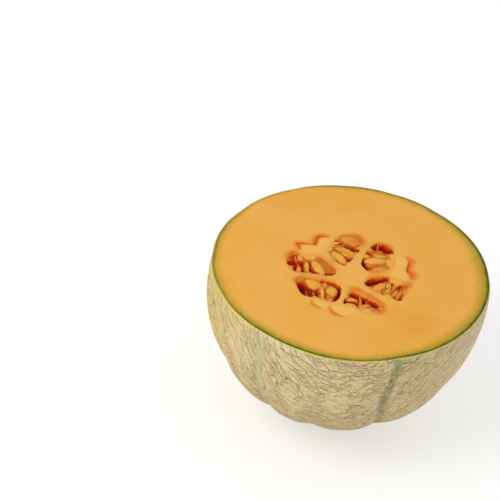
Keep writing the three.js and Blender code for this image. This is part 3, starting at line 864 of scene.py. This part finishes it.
fleshFinish = {
    "discSegments": 224,
    "discRadius": 36.0,
    "toRim": (20, 15, 11, 8, 6, 4.8, 4, 3.3, 2.6, 2.0, 1.5, 1.1, 0.75, 0.45, 0.2, 0.0),
    "undersideRows": 9,
    "lipReach": 0.9,
    "lipSink": 0.12,
    "headRise": 0.3,
    "headReach": 8.0,
    "grain": {"Scale": 800.0, "Coarseness": 0.5, "Smoothest": 0.42, "Roughest": 0.55},
    "bump": {"Strength": 0.22, "Distance": 0.0003},
    "surface": {
        "Specular IOR Level": 0.12, "Subsurface Weight": 0.25, "Subsurface Radius": (1.0, 0.45, 0.15),
        "Subsurface Scale": 0.003,
    },
    # inward and depth, down a pocket's wall
    "pocketWall": (
        (0.10, 0.5), (0.16, 1.0), (0.18, 1.6), (0.16, 2.4), (0.1, 3.4), (0.04, 4.8),
        (0.0, 6.6), (0.0, 9), (0.0, 14), (0.0, 24), (0.0, 36),
    ),
    "crackWall": ((0.06, 0.2), (0.12, 0.4), (0.18, 0.6), (0.24, 0.85), (0.3, 1.15)),
    "crackEnds": (
        (-24, 8.7), (-12.4, 20.9), (22.4, 15.1), (26.3, -0.1), (-15.2, -25.2), (-9, -30.2), (-7.1, -27.8),
        (1.8, -32.4),
    ),
    # where the flesh is warmer: middle and reach, from the middle of the star
    "warmPatches": ((31, -31, 11), (19, -25, 5)),
    # where the edge of an opening is orange: middle, reach and strength
    "haloSpots": (
        (-29, 3, 5, 1), (-27, 7, 3, 0.8), (-24, -12, 4.5, 1), (-12, -9, 4, 0.5), (14.2, -20, 3.6, 0.9),
        (10.5, -2.6, 3.4, 0.9), (15.5, -0.8, 2.6, 0.5), (17.4, 20, 3, 0.5), (-20, -7.5, 3, 0.4),
        (16, -25.6, 3.8, 0.9), (4, -13.4, 3, 0.8), (9, -16.6, 3.6, 0.9), (3.5, 21, 4, 1), (0, 25.5, 3, 0.7),
        (13, 21, 4.5, 0.9), (4.5, 13, 3, 0.4), (9, -4.5, 4, 0.6), (26.5, -5, 3, 0.7), (-9, 3, 3, 0.4),
        (-25.8, 11.8, 4, 1), (-18.7, 17.3, 4, 1), (-15.2, 21.3, 4, 1), (27, 11, 4, 1), (27, 5, 4, 1),
        (28, 1, 4, 1), (-14.5, -28, 3, 0.6), (-5.5, -31.5, 3.5, 0.7),
    ),
    # where the pulp runs into the flesh with no edge between them: middle and reach
    "openSpots": (
        (-11.2, 16.2, 2.6), (-11.6, 12.8, 2.2), (18.4, 9, 4), (17.8, 14, 2.4), (21.5, -3, 3.2),
        (17.4, -15.8, 2.6), (9, -28.6, 4), (1, -25.4, 2.4), (-13, -24, 2.6), (-7, -25.2, 2), (-19.4, 5, 2.6),
        (-23.2, 6.7, 2), (6, 11.5, 1.6),
    ),
    "flesh": srgb(229, 168, 70),
    "fleshPale": srgb(232, 173, 80),
    "fleshWarm": srgb(226, 148, 42),
    "headTone": srgb(237, 181, 90),
    "innerGreen": srgb(172, 146, 30),
    "rimGreen": srgb(78, 83, 2),
    "pocketLip": srgb(222, 108, 24),
    "crackTone": srgb(246, 142, 46),
    "pocketWallTone": srgb(208, 88, 20),
    "pocketDeepShade": srgb(166, 14, 2),
}

# the pulp heads between the pockets stand a little proud inside their cracks
pulpHeads = [
    [
        (-23.4, 8.6), (-24.9, 12), (-20.9, 13.1), (-17.4, 13.7), (-16.8, 18.3), (-15.2, 20.3),
        (-12, 20.8), (-10.6, 18), (-13, 12), (-16, 8), (-20, 6.4),
    ],
    [
        (18.8, 14.6), (22.6, 14), (25.4, 11.8), (24.8, 6), (25.2, 3.2), (26.6, 0),
        (25.6, -2.4), (21, -2), (17, -0.8), (17.6, 2.6), (19, 7),
    ],
    [(-15, -25.6), (-13.9, -28), (-11.6, -29.5), (-8.6, -29.6), (-6.8, -26.4), (-9.6, -24.6)],
    [
        (-6.8, -28.2), (-5.6, -30.6), (-3.2, -32.8), (0, -33.3), (3.4, -31.4), (7, -29.2),
        (2.5, -26.4), (-1.6, -25.6), (-5, -25.6),
    ],
]
headRings = [outwardOrder(smoothCurve(outline, 8, closed=True)) for outline in pulpHeads]


def squareToDisc(points):
    # keeps the cells about equal in size
    u, v = points[:, 0], points[:, 1]
    wide = np.abs(u) > np.abs(v)
    safeU = np.where(np.abs(u) < 1e-9, 1e-9, u)
    safeV = np.where(np.abs(v) < 1e-9, 1e-9, v)
    radius = np.where(wide, u, v)
    turn = np.where(wide, math.pi / 4 * v / safeU, math.pi / 2 - math.pi / 4 * u / safeV)
    return np.stack([radius * np.cos(turn), radius * np.sin(turn)], axis=1)


def rimAbout(inset):
    # the cut's edge as seen from the star's middle: bearing about it, body bearing and radius
    body = np.linspace(-180, 180, 1441)[:-1]
    rim = bodyPoint(body, cutPolar(body, inset), inset) - starMiddle
    turn = np.arctan2(rim[:, 1], rim[:, 0])
    order = np.argsort(turn)
    return turn[order], body[order], np.hypot(rim[:, 0], rim[:, 1])[order]


def periodicLookup(turn, table, values):
    return np.interp(turn, table, values, period=2 * math.pi)


def bodyBearingLookup(turn, table, body):
    # averages bearings as unit vectors, so that the join at 180 degrees doesn't matter
    side = periodicLookup(turn, table, np.cos(np.radians(body)))
    depth = periodicLookup(turn, table, np.sin(np.radians(body)))
    return np.degrees(np.arctan2(depth, side))


def fleshSurface(flat):
    # gentle unevenness of the cut
    level = np.c_[flat, np.zeros(len(flat))]
    return 0.08 * noiseAt(level, 12.0, 21) + 0.03 * noiseAt(level, 2.6, 22)


def nearSpot(flat, x, y, reach):
    return np.exp(-((flat[:, 0] - x) ** 2 + (flat[:, 1] - y) ** 2) / reach ** 2)


def openShare(flat):
    return smoothStep(0.1, 0.85, np.max([nearSpot(flat, *spot) for spot in fleshFinish["openSpots"]], axis=0))


def haloAt(flat):
    spots = fleshFinish["haloSpots"]
    return np.clip(sum(strength * nearSpot(flat, x, y, reach) for x, y, reach, strength in spots), 0, 1)


def extrudeRing(bm, edges, layer):
    made = bmesh.ops.extrude_edge_only(bm, edges=edges)["geom"]
    verts = [item for item in made if isinstance(item, bmesh.types.BMVert)]
    newEdges = [item for item in made if isinstance(item, bmesh.types.BMEdge) and len(item.link_faces) == 1]
    return verts, newEdges, asArray([vert[layer] for vert in verts]).astype(int)


def numberRing(edges, layer):
    # numbers the vertices of an open edge, so that rings extruded from it know where they started
    ring = list({vert: None for edge in edges for vert in edge.verts})
    for number, vert in enumerate(ring):
        vert[layer] = number
    return ring


def settleVerts(bm):
    # from millimetres about the star's middle to metres in the frame
    for vert in bm.verts:
        vert.co = (vert.co + Vector(starMiddle)) * mm


def makeFlesh():
    segments, discRadius = fleshFinish["discSegments"], fleshFinish["discRadius"]
    headReach, thickness = fleshFinish["headReach"], melonForm["rindThickness"]
    bm = bmesh.new()
    ringLayer = bm.verts.layers.int.new("ringNumber")
    bmesh.ops.create_grid(bm, x_segments=segments, y_segments=segments, size=1.0)
    placeVerts(bm.verts, squareToDisc(asArray([vert.co[:2] for vert in bm.verts])) * discRadius, 0.0)
    # faces whose middles lie in an opening go, and the edge that is left is drawn onto its outline
    rings = pocketRings + crackRings
    middles = asArray([face.calc_center_median()[:2] for face in bm.faces])
    inside = nearestOpening(middles, rings)[0] < 0
    bmesh.ops.delete(bm, geom=[face for face, gone in zip(bm.faces, inside) if gone], context="FACES")
    flat = asArray([vert.co[:2] for vert in bm.verts])
    away, way, _ = nearestOpening(flat, rings)
    outer = np.hypot(flat[:, 0], flat[:, 1]) > discRadius - 0.01
    border = asArray([vert.is_boundary for vert in bm.verts]).astype(bool) & ~outer
    flat[border] -= way[border] * away[border][:, None]
    away[border] = 0
    lip = np.clip(1 - away / fleshFinish["lipReach"], 0, 1) ** 2 * hollowShare(flat)
    height = fleshSurface(flat) - fleshFinish["lipSink"] * lip
    headDepth = -nearestOpening(flat, headRings, reach=headReach)[0]
    height += fleshFinish["headRise"] * smoothStep(0, 2.2, headDepth)
    placeVerts(bm.verts, flat, height)
    # the band out to the rim, then the underside against the rind
    table, body, radius = rimAbout(thickness)
    edges = [edge for edge in bm.edges if edge.is_boundary
             and all(math.hypot(*vert.co[:2]) > discRadius - 0.01 for vert in edge.verts)]
    turn = asArray([math.atan2(vert.co.y, vert.co.x) for vert in numberRing(edges, ringLayer)])
    rimRadius = periodicLookup(turn, table, radius)
    bodyBearing = bodyBearingLookup(turn, table, body)
    topPolar = cutPolar(bodyBearing, thickness)
    for fromRim in fleshFinish["toRim"]:
        verts, edges, order = extrudeRing(bm, edges, ringLayer)
        out = rimRadius[order] - fromRim
        at = np.stack([out * np.cos(turn[order]), out * np.sin(turn[order])], axis=1)
        placeVerts(verts, at, fleshSurface(at) * min(1.0, fromRim / 4) - (0.05 if fromRim == 0 else 0))
    for k in range(fleshFinish["undersideRows"]):
        verts, edges, order = extrudeRing(bm, edges, ringLayer)
        upward = 1 - (k + 1) / fleshFinish["undersideRows"]
        placed = bodyPoint(bodyBearing[order], topPolar[order] * upward, thickness) - starMiddle
        placeVerts(verts, placed[:, :2], placed[:, 2])
    # down each pocket and crack; the cracks are shallower towards their ends
    edges = [edge for edge in bm.edges if edge.is_boundary and all(vert.co.z > -5 for vert in edge.verts)]
    start = asArray([vert.co[:] for vert in numberRing(edges, ringLayer)])
    _, way, which = nearestOpening(start[:, :2], rings)
    isPocket = which < len(pocketRings)
    fullDepth = np.ones(len(start))
    for x, y in fleshFinish["crackEnds"]:
        nearEnd = np.hypot(start[:, 0] - x, start[:, 1] - y)
        fullDepth = np.where(isPocket, 1.0, np.minimum(fullDepth, smoothStep(-0.4, 5.0, nearEnd)))
    for belongs, wall, roughness in (
            (isPocket, fleshFinish["pocketWall"], 0.25), (~isPocket, fleshFinish["crackWall"], 0.05)):
        ringEdges = [edge for edge in edges if all(belongs[vert[ringLayer]] for vert in edge.verts)]
        for inward, depth in wall:
            verts, ringEdges, order = extrudeRing(bm, ringEdges, ringLayer)
            at = start[order, :2] - way[order] * inward
            here = np.c_[at, np.full(len(at), -depth)]
            bumps = noiseAt(here, 2.1, 31) + 0.5 * noiseAt(here, 0.9, 32)
            at -= way[order] * (bumps * roughness * min(1.0, depth / 2))[:, None]
            placeVerts(verts, at * pocketDraw(depth), -depth * fullDepth[order])
        bmesh.ops.triangle_fill(bm, use_beauty=True, edges=ringEdges, normal=(0, 0, 1))
    settleVerts(bm)
    bmesh.ops.remove_doubles(bm, verts=bm.verts, dist=0.002 * mm)
    bmesh.ops.recalc_face_normals(bm, faces=bm.faces)
    mesh = finishMesh(bm, "flesh")
    local = readPoints(mesh) - starMiddle
    flat = local[:, :2]
    turn = np.arctan2(flat[:, 1], flat[:, 0])
    fromRim = periodicLookup(turn, table, radius) - np.hypot(flat[:, 0], flat[:, 1])
    bearing = np.degrees(turn)
    openingGap, _, which = nearestOpening(flat, rings, reach=6.0)
    byCrack = which >= len(pocketRings)
    inHead = smoothStep(-0.3, 1.5, -nearestOpening(flat, headRings, reach=headReach)[0])
    halo = np.clip(haloAt(flat) + 0.1, 0, 1) * (1 - 0.9 * openShare(flat)) * (1 - 0.7 * byCrack * inHead)
    ragged = openingGap + 0.4 * noiseAt(local, 1.6, 24)
    writeAttributes(
        mesh, fromRim=np.maximum(fromRim, 0), greenWidth=aroundMelon(bearing, rindFinish["greenWidth"]),
        greenStrength=aroundMelon(bearing, rindFinish["greenLine"]),
        halo=halo * (1 - smoothStep(-0.3, 0.6 + 2.6 * halo, ragged)), hollowShare=hollowShare(flat),
        crackShare=byCrack & (openingGap < 2), head=inHead,
        warm=np.clip(sum(nearSpot(flat, *patch) for patch in fleshFinish["warmPatches"]), 0, 1))
    print("flesh:", triangleCount(mesh), "triangles")
    return makeObject("cut_flesh", mesh, makeFleshMaterial())


def makeFleshMaterial():
    material, tree, place, depth, grain = startMaterial("melonFlesh", fleshFinish)
    fine = grain["Grain"]
    warmth = plus(ranged(attribute(tree, "warm"), 0.1, 1.0, 0.0, 0.5),
                  ranged(noiseValue(place, 75.0), 0.55, 0.75, 0.0, 0.22))
    # green under the rind: a wide tint and a dark line
    ring = plus(attribute(tree, "fromRim"), ranged(noiseValue(place, 350.0), 0.2, 0.8, -0.3, 0.3))
    strength = attribute(tree, "greenStrength")
    tint = ranged(math2("DIVIDE", ring, attribute(tree, "greenWidth")), 0.08, 1.05, 1.0, 0.0)
    tint = times(math2("POWER", tint, 1.8), ranged(strength, 0.0, 1.0, 0.3, 1.0))
    # red down in the pockets, partly the wall's own colour and partly painted shade that deepens with depth and
    # sooner in the hollows; orange down in the cracks
    inCrack = attribute(tree, "crackShare")
    uneven = times(ranged(noiseValue(place, 300.0), 0.2, 0.8, -0.7, 0.7), ranged(depth, 0.2, 1.0))
    # painted shade comes on sooner in the hollows
    quicker = ranged(attribute(tree, "hollowShare"), 0.0, 1.0, 1.0, 2.4)
    down = plus(times(depth, quicker), uneven)
    wallTone = mixed(inCrack, fleshFinish["pocketWallTone"], fleshFinish["crackTone"])
    colour = layered(fleshFinish["flesh"], fleshFinish, (
        (ranged(noiseValue(place, 45.0, 3.0), 0.35, 0.65), "fleshPale"),
        (warmth, "fleshWarm"),
        (ranged(fine, 0.4, 0.8, 0.0, 0.22), "fleshWarm"),
        (times(attribute(tree, "head"), 0.7), "headTone"),
        (tint, "innerGreen"),
        (times(ranged(ring, 0.15, 1.75, 1.0, 0.0), strength), "rimGreen"),
        (times(attribute(tree, "halo"), 0.85), "pocketLip"),
        # the wall's own colour, deepened by painted shade with depth
        (ranged(down, 0.15, 1.7), wallTone),
        # painted shade, darkest deep in the pockets
        (times(ranged(down, 2.2, 5.0), ranged(inCrack, 0.0, 1.0, 1.0, 0.0)), "pocketDeepShade"),
    ))
    # faint strokes along the cut
    stretched = addNode(tree, "ShaderNodeVectorMath", {0: place, 1: (0.12, 1.0, 1.0)}, operation="MULTIPLY")
    relief = plus(fine, times(noiseValue(stretched.outputs[0], 500.0), 0.6))
    finishShader(tree, fleshFinish, colour, grain["Roughness"], relief)
    return material


# the pulp that fills the pockets, with hollows between its seeds

pulpFinish = {
    "segments": 66,
    "wallGap": -0.08,
    "level": 0.95,
    "lumps": 0.5,
    "wallReach": 2.0,
    "sideDepths": (5, 9, 15, 25, 35.5),
    "grain": {"Scale": 520.0, "Coarseness": 0.6, "Smoothest": 0.35, "Roughest": 0.5},
    "bump": {"Strength": 0.35, "Distance": 0.0004},
    "surface": {
        "Specular IOR Level": 0.08, "Subsurface Weight": 0.2, "Subsurface Radius": (1.0, 0.25, 0.08),
        "Subsurface Scale": 0.002,
    },
    "pulpFlesh": srgb(233, 168, 68),
    "pulpOrange": srgb(224, 140, 42),
    "pulpBrown": srgb(204, 98, 22),
    "pulpGlow": srgb(212, 100, 20),
    "pulpRed": srgb(184, 44, 6),
    "pulpDeepShade": srgb(170, 14, 0),
    "seedContactShade": srgb(176, 80, 12),
}


def pulpHeight(pocket, ring, at):
    wallGap = -distanceTo(ring, at)[0]
    level = np.c_[at, np.zeros(len(at))]
    nearWall = 1 - smoothStep(0.1, pulpFinish["wallReach"], wallGap)
    lumps = noiseAt(level, 2.2, 41) + 0.5 * noiseAt(level, 0.9, 42)
    height = -pulpFinish["level"] + pulpFinish["lumps"] * lumps
    joined = np.maximum(openShare(at), 0.95 * nearWall * (1 - hollowShare(at)))
    height += (fleshSurface(at) - 0.02 - height) * joined
    for x1, y1, x2, y2, reach, depth in pocket["hollows"]:
        gap = capsuleGap(at, (x1, y1), (x2, y2)) + 0.5 * min(reach, 1) * noiseAt(level, 1.4, 43)
        inHollow = 1 - smoothStep(0.4, 1.25, gap / reach)
        floor = -0.75 * depth + 0.8 * noiseAt(level, 1.1, 44)
        height = height + (np.minimum(floor, height) - height) * inHollow
    return height


def seedGap(pocket, at):
    # how far outside the nearest seed's edge, as seen from above
    gap = np.full(len(at), 9.0)
    for rootX, rootY, tipX, tipY, width, roll, depth, tone in pocket["seeds"]:
        root, tip = asArray((rootX, rootY)), asArray((tipX, tipY))
        half = (tip - root) / 2
        length = np.linalg.norm(half)
        along = half / length
        tilt = math.radians(roll)
        side = math.hypot(width / 2 * math.cos(tilt), seedFinish["thickness"] / 2 * math.sin(tilt))
        away = at - (root + half)
        forward, across = away @ along, away @ asArray((-along[1], along[0]))
        share = np.maximum(np.hypot(forward / length, across / side), 1e-6)
        gap = np.minimum(gap, (share - 1) * np.hypot(forward, across) / share)
    return gap


def makePulp():
    segments = pulpFinish["segments"]
    bm = bmesh.new()
    ringLayer = bm.verts.layers.int.new("ringNumber")
    layers = [bm.verts.layers.float.new(name) for name in ("seedGap", "hollowShare", "halo")]
    for pocket, ring in zip(pockets, pocketRings):
        along = np.roll(ring, -1, axis=0) - np.roll(ring, 1, axis=0)
        along /= np.linalg.norm(along, axis=1)[:, None]
        inner = ring + np.stack([-along[:, 1], along[:, 0]], axis=1) * pulpFinish["wallGap"]
        middle = ring.mean(axis=0)
        around = np.arctan2(*(inner - middle).T[::-1])
        order = np.argsort(around)
        reach = np.linalg.norm(inner - middle, axis=1)[order]
        made = bmesh.ops.create_grid(bm, x_segments=segments, y_segments=segments, size=1.0)["verts"]
        disc = squareToDisc(asArray([vert.co[:2] for vert in made]))
        turn = np.arctan2(disc[:, 1], disc[:, 0])
        at = disc * periodicLookup(turn, around[order], reach)[:, None] + middle
        placeVerts(made, at, pulpHeight(pocket, ring, at))
        for layer, values in zip(layers, (seedGap(pocket, at), hollowShare(at), haloAt(at))):
            for vert, value in zip(made, values):
                vert[layer] = value
        madeSet = set(made)
        edges = [edge for edge in bm.edges if edge.is_boundary and edge.verts[0] in madeSet]
        start = asArray([vert.co[:2] for vert in numberRing(edges, ringLayer)])
        for depth in pulpFinish["sideDepths"]:
            verts, edges, order = extrudeRing(bm, edges, ringLayer)
            placeVerts(verts, start[order] * pocketDraw(depth), -depth)
        bmesh.ops.triangle_fill(bm, use_beauty=True, edges=edges, normal=(0, 0, 1))
    settleVerts(bm)
    bmesh.ops.recalc_face_normals(bm, faces=bm.faces)
    mesh = finishMesh(bm, "pulp")
    print("pulp:", triangleCount(mesh), "triangles")
    return makeObject("pocket_pulp", mesh, makePulpMaterial())


def makePulpMaterial():
    material, tree, _, depth, grain = startMaterial("wetPulp", pulpFinish)
    # the pulp runs from flesh colour to deep red with depth, and sooner in the hollows: partly its own colour,
    # partly painted shade
    tone = plus(depth, ranged(grain["Grain"], 0.3, 0.7, -0.45, 0.45))
    tone = plus(tone, times(attribute(tree, "hollowShare"), ranged(depth, 0.1, 0.9, 0.0, 1.5)))
    # a painted shade ring on the pulp just beside each seed
    besideSeedShade = times(ranged(attribute(tree, "seedGap"), 0.0, 0.45, 0.6, 0.0), ranged(depth, 0.15, 0.6))
    colour = layered(pulpFinish["pulpFlesh"], pulpFinish, (
        (times(attribute(tree, "halo"), 0.85), "pulpGlow"),
        (ranged(tone, 0.2, 1.1), "pulpOrange"),
        (ranged(tone, 0.9, 2.0), "pulpBrown"),
        (ranged(tone, 1.7, 2.8), "pulpRed"),
        (ranged(tone, 2.8, 4.4), "pulpDeepShade"),
        (besideSeedShade, "seedContactShade"),
    ))
    finishShader(tree, pulpFinish, colour, grain["Roughness"], grain["Grain"])
    return material


# the seeds

seedFinish = {
    "thickness": 2.7,
    "rootTaper": 0.45,
    "tipTaper": 0.12,
    "sides": 26,
    "rings": 20,
    # anything narrower is a strand, and bends to one side by this share of its length
    "narrowest": 2.5,
    "strandBend": 0.08,
    # a seed that is rolled further than this shows no dark edge: the dark edge is partly its sheath and partly
    # painted shade, and a rolled seed's edge faces up into the light
    "edgedRoll": 40,
    "grain": {"Scale": 900.0, "Coarseness": 0.5, "Smoothest": 0.3, "Roughest": 0.42},
    "bump": {"Strength": 0.2, "Distance": 0.0002},
    "surface": {
        "Specular IOR Level": 0.14, "Subsurface Weight": 0.15, "Subsurface Radius": (1.0, 0.5, 0.2),
        "Subsurface Scale": 0.0015,
    },
    "seedGlint": srgb(246, 188, 116),
    "seedPale": srgb(230, 166, 62),
    "seedGold": srgb(214, 138, 40),
    "seedBrown": srgb(170, 66, 8),
    "seedSheathAndShade": srgb(164, 72, 8),
}


def makeSeeds():
    sides, rings, rootTaper = seedFinish["sides"], seedFinish["rings"], seedFinish["rootTaper"]
    bm = bmesh.new()
    edgeLayer = bm.verts.layers.float.new("seedSheathAndShade")
    toneLayer = bm.verts.layers.float.new("seedTone")
    placeLayer = bm.verts.layers.float_vector.new("seedPlace")
    rows = [row for pocket in pockets for row in pocket["seeds"] + pocket["strands"]]
    for count, (rootX, rootY, tipX, tipY, width, roll, depth, tone) in enumerate(rows):
        root, tip = Vector((rootX, rootY)), Vector((tipX, tipY))
        # a painted glint, with a tone below zero, is a flatter blob
        thickness = min(seedFinish["thickness"], (0.6 if tone < 0 else 1.2) * width)
        length = (tip - root).length
        isStrand = width < seedFinish["narrowest"]
        edged = not isStrand and abs(roll) < seedFinish["edgedRoll"]
        bend = length * seedFinish["strandBend"] * (1 if count % 2 else -1)
        made = bmesh.ops.create_uvsphere(bm, u_segments=sides, v_segments=rings, radius=1.0)["verts"]
        for vert in made:
            side, along, up = vert.co.x, vert.co.z, -vert.co.y
            # the darkened rim, partly sheath and partly painted shade
            vert[edgeLayer] = max(abs(side) ** 2.6, abs(along) ** 8) if edged else 0
            vert[toneLayer] = tone
            vert[placeLayer] = Vector((
                side * width / 2, up * thickness / 2, along * length * 0.1 + count * 3.7))
            narrow = 1 - rootTaper * max(0.0, -along) ** 1.4 - seedFinish["tipTaper"] * max(0.0, along) ** 3
            plump = 1 - 0.3 * (abs(side) / max(math.hypot(side, up), 1e-6)) ** 8
            vert.co = Vector((
                side * narrow * width / 2, along * length / 2, up * narrow * plump * thickness / 2))
            if isStrand:
                vert.co.x += (1 - along ** 2) * bend
            wobble = noise.noise(vert.co * 0.4 + Vector((count * 7.1, 0, 0)))
            vert.co += vert.co.normalized() * wobble * min(0.2, 0.15 * width)
        turn = math.atan2(tip.y - root.y, tip.x - root.x) - math.pi / 2
        spin = Matrix.Rotation(turn, 3, "Z") @ Matrix.Rotation(math.radians(roll), 3, "Y")
        for vert in made:
            vert.co = spin @ vert.co
        top = max(vert.co.z for vert in made)
        middle = (root + tip) / 2
        shift = Vector((middle.x, middle.y, -depth - top)) + Vector(starMiddle)
        for vert in made:
            vert.co = (vert.co + shift) * mm
    bmesh.ops.recalc_face_normals(bm, faces=bm.faces)
    mesh = finishMesh(bm, "seeds")
    print("seeds:", len(rows), "seeds,", triangleCount(mesh), "triangles")
    return makeObject("melon_seeds", mesh, makeSeedMaterial())


def makeSeedMaterial():
    material, tree, _, depth, grain = startMaterial("wetSeed", seedFinish)
    ownTone = attribute(tree, "seedTone")
    streak = noiseValue(attribute(tree, "seedPlace", "Vector"), 1.1, 3.0)
    tone = plus(ownTone, ranged(streak, 0.3, 0.7, -0.16, 0.16), clamp=True)
    colour = layered(seedFinish["seedPale"], seedFinish, (
        (ranged(tone, 0.0, 0.4), "seedGold"),
        (ranged(tone, 0.35, 1.0), "seedBrown"),
        # dark rim, partly sheath and partly painted shade
        (ranged(attribute(tree, "seedSheathAndShade"), 0.3, 1.0, 0.0, 0.75), "seedSheathAndShade"),
        # painted shade, darker further below the cut
        (ranged(depth, 0.9, 3.0, 0.0, 0.9), "seedSheathAndShade"),
        # painted glint on the pale blobs whose tone is below zero
        (ranged(ownTone, -0.6, -0.1, 1.0, 0.0), "seedGlint"),
    ))
    finishShader(tree, seedFinish, colour, grain["Roughness"], grain["Grain"])
    return material


# camera, light and floor

studio = {
    "elevation": 38.38,
    "roll": 8.19,
    "distance": 900.0,
    "focalPixels": 2022.0,
    "cutCentrePixel": (351.6, 269.3),
    "imageSize": 500,
    "floorTone": (0.5, 0.5, 0.5, 1.0),
    "floorGlow": 0.53,
    "floorRadius": 4.0,
    "worldStrength": 0.72,
    "keyPlace": (-0.8, -0.5, 1.0),
    "keySize": 0.9,
    "keyPower": 8.0,
    "keyColour": (1.0, 0.99, 0.97),
}


def makeCamera():
    # looks at the cut face, then turns so that its middle falls where the photo has it
    target = Vector(starMiddle) * mm
    tilt = math.radians(studio["elevation"])
    back = Vector((0, -math.cos(tilt), math.sin(tilt)))
    right = Vector((1, 0, 0))
    up = back.cross(right)
    roll = math.radians(studio["roll"])
    rolledRight = right * math.cos(roll) + up * math.sin(roll)
    rolledUp = up * math.cos(roll) - right * math.sin(roll)
    forward = -back
    middle = studio["imageSize"] / 2
    aside = math.atan((studio["cutCentrePixel"][0] - middle) / studio["focalPixels"])
    below = math.atan((studio["cutCentrePixel"][1] - middle) / studio["focalPixels"] * math.cos(aside))
    aimed = forward * math.cos(aside) - rolledRight * math.sin(aside)
    finalRight = rolledRight * math.cos(aside) + forward * math.sin(aside)
    finalForward = aimed * math.cos(below) + rolledUp * math.sin(below)
    finalUp = rolledUp * math.cos(below) - aimed * math.sin(below)
    data = bpy.data.cameras.new("camera")
    data.sensor_width = 36.0
    data.lens = studio["focalPixels"] * data.sensor_width / studio["imageSize"]
    data.clip_end = 20.0
    camera = putInScene(bpy.data.objects.new("camera", data))
    turn = Matrix((finalRight, finalUp, -finalForward)).transposed().to_4x4()
    camera.matrix_world = Matrix.Translation(target + back * studio["distance"] * mm) @ turn
    bpy.context.scene.camera = camera


def makeKeyLight():
    data = bpy.data.lights.new("key", "AREA")
    data.shape = "DISK"
    data.size = studio["keySize"]
    data.energy = studio["keyPower"]
    data.color = studio["keyColour"]
    light = putInScene(bpy.data.objects.new("key", data))
    light.location = studio["keyPlace"]
    aim = Vector((0, 0, cutHeight * mm / 2)) - Vector(studio["keyPlace"])
    light.rotation_euler = aim.to_track_quat("-Z", "Y").to_euler()


def makeStudio():
    scene = bpy.context.scene
    scene.view_settings.view_transform = "Standard"
    scene.world = bpy.data.worlds.new("studio")
    scene.world.use_nodes = True
    fillInputs(scene.world.node_tree.nodes["Background"], {
        "Color": (1, 1, 1, 1), "Strength": studio["worldStrength"],
    })
    bm = bmesh.new()
    bmesh.ops.create_circle(bm, cap_ends=True, segments=64, radius=studio["floorRadius"])
    material, tree = newMaterial("paleFloor")
    fillInputs(tree.nodes["Principled BSDF"], {
        "Base Color": studio["floorTone"], "Roughness": 0.8, "Emission Color": (1, 1, 1, 1),
        "Emission Strength": studio["floorGlow"],
    })
    floor = makeObject("floor", finishMesh(bm, "floor", smooth=False), material)


makeCamera()
makeKeyLight()
makeStudio()
clusters = [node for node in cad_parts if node.startswith("seed_cluster")]
pieces = (
    (makeRind(), "rind", ["melon_body"]),
    (makeFlesh(), "flesh", ["melon_body"]),
    (makePulp(), "pulp", clusters),
    (makeSeeds(), "seed", clusters),
)
for piece, slotName, nodes in pieces:
    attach(piece, "root")
    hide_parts(*nodes)
print("pieces:", [piece.name for piece, _, _ in pieces])
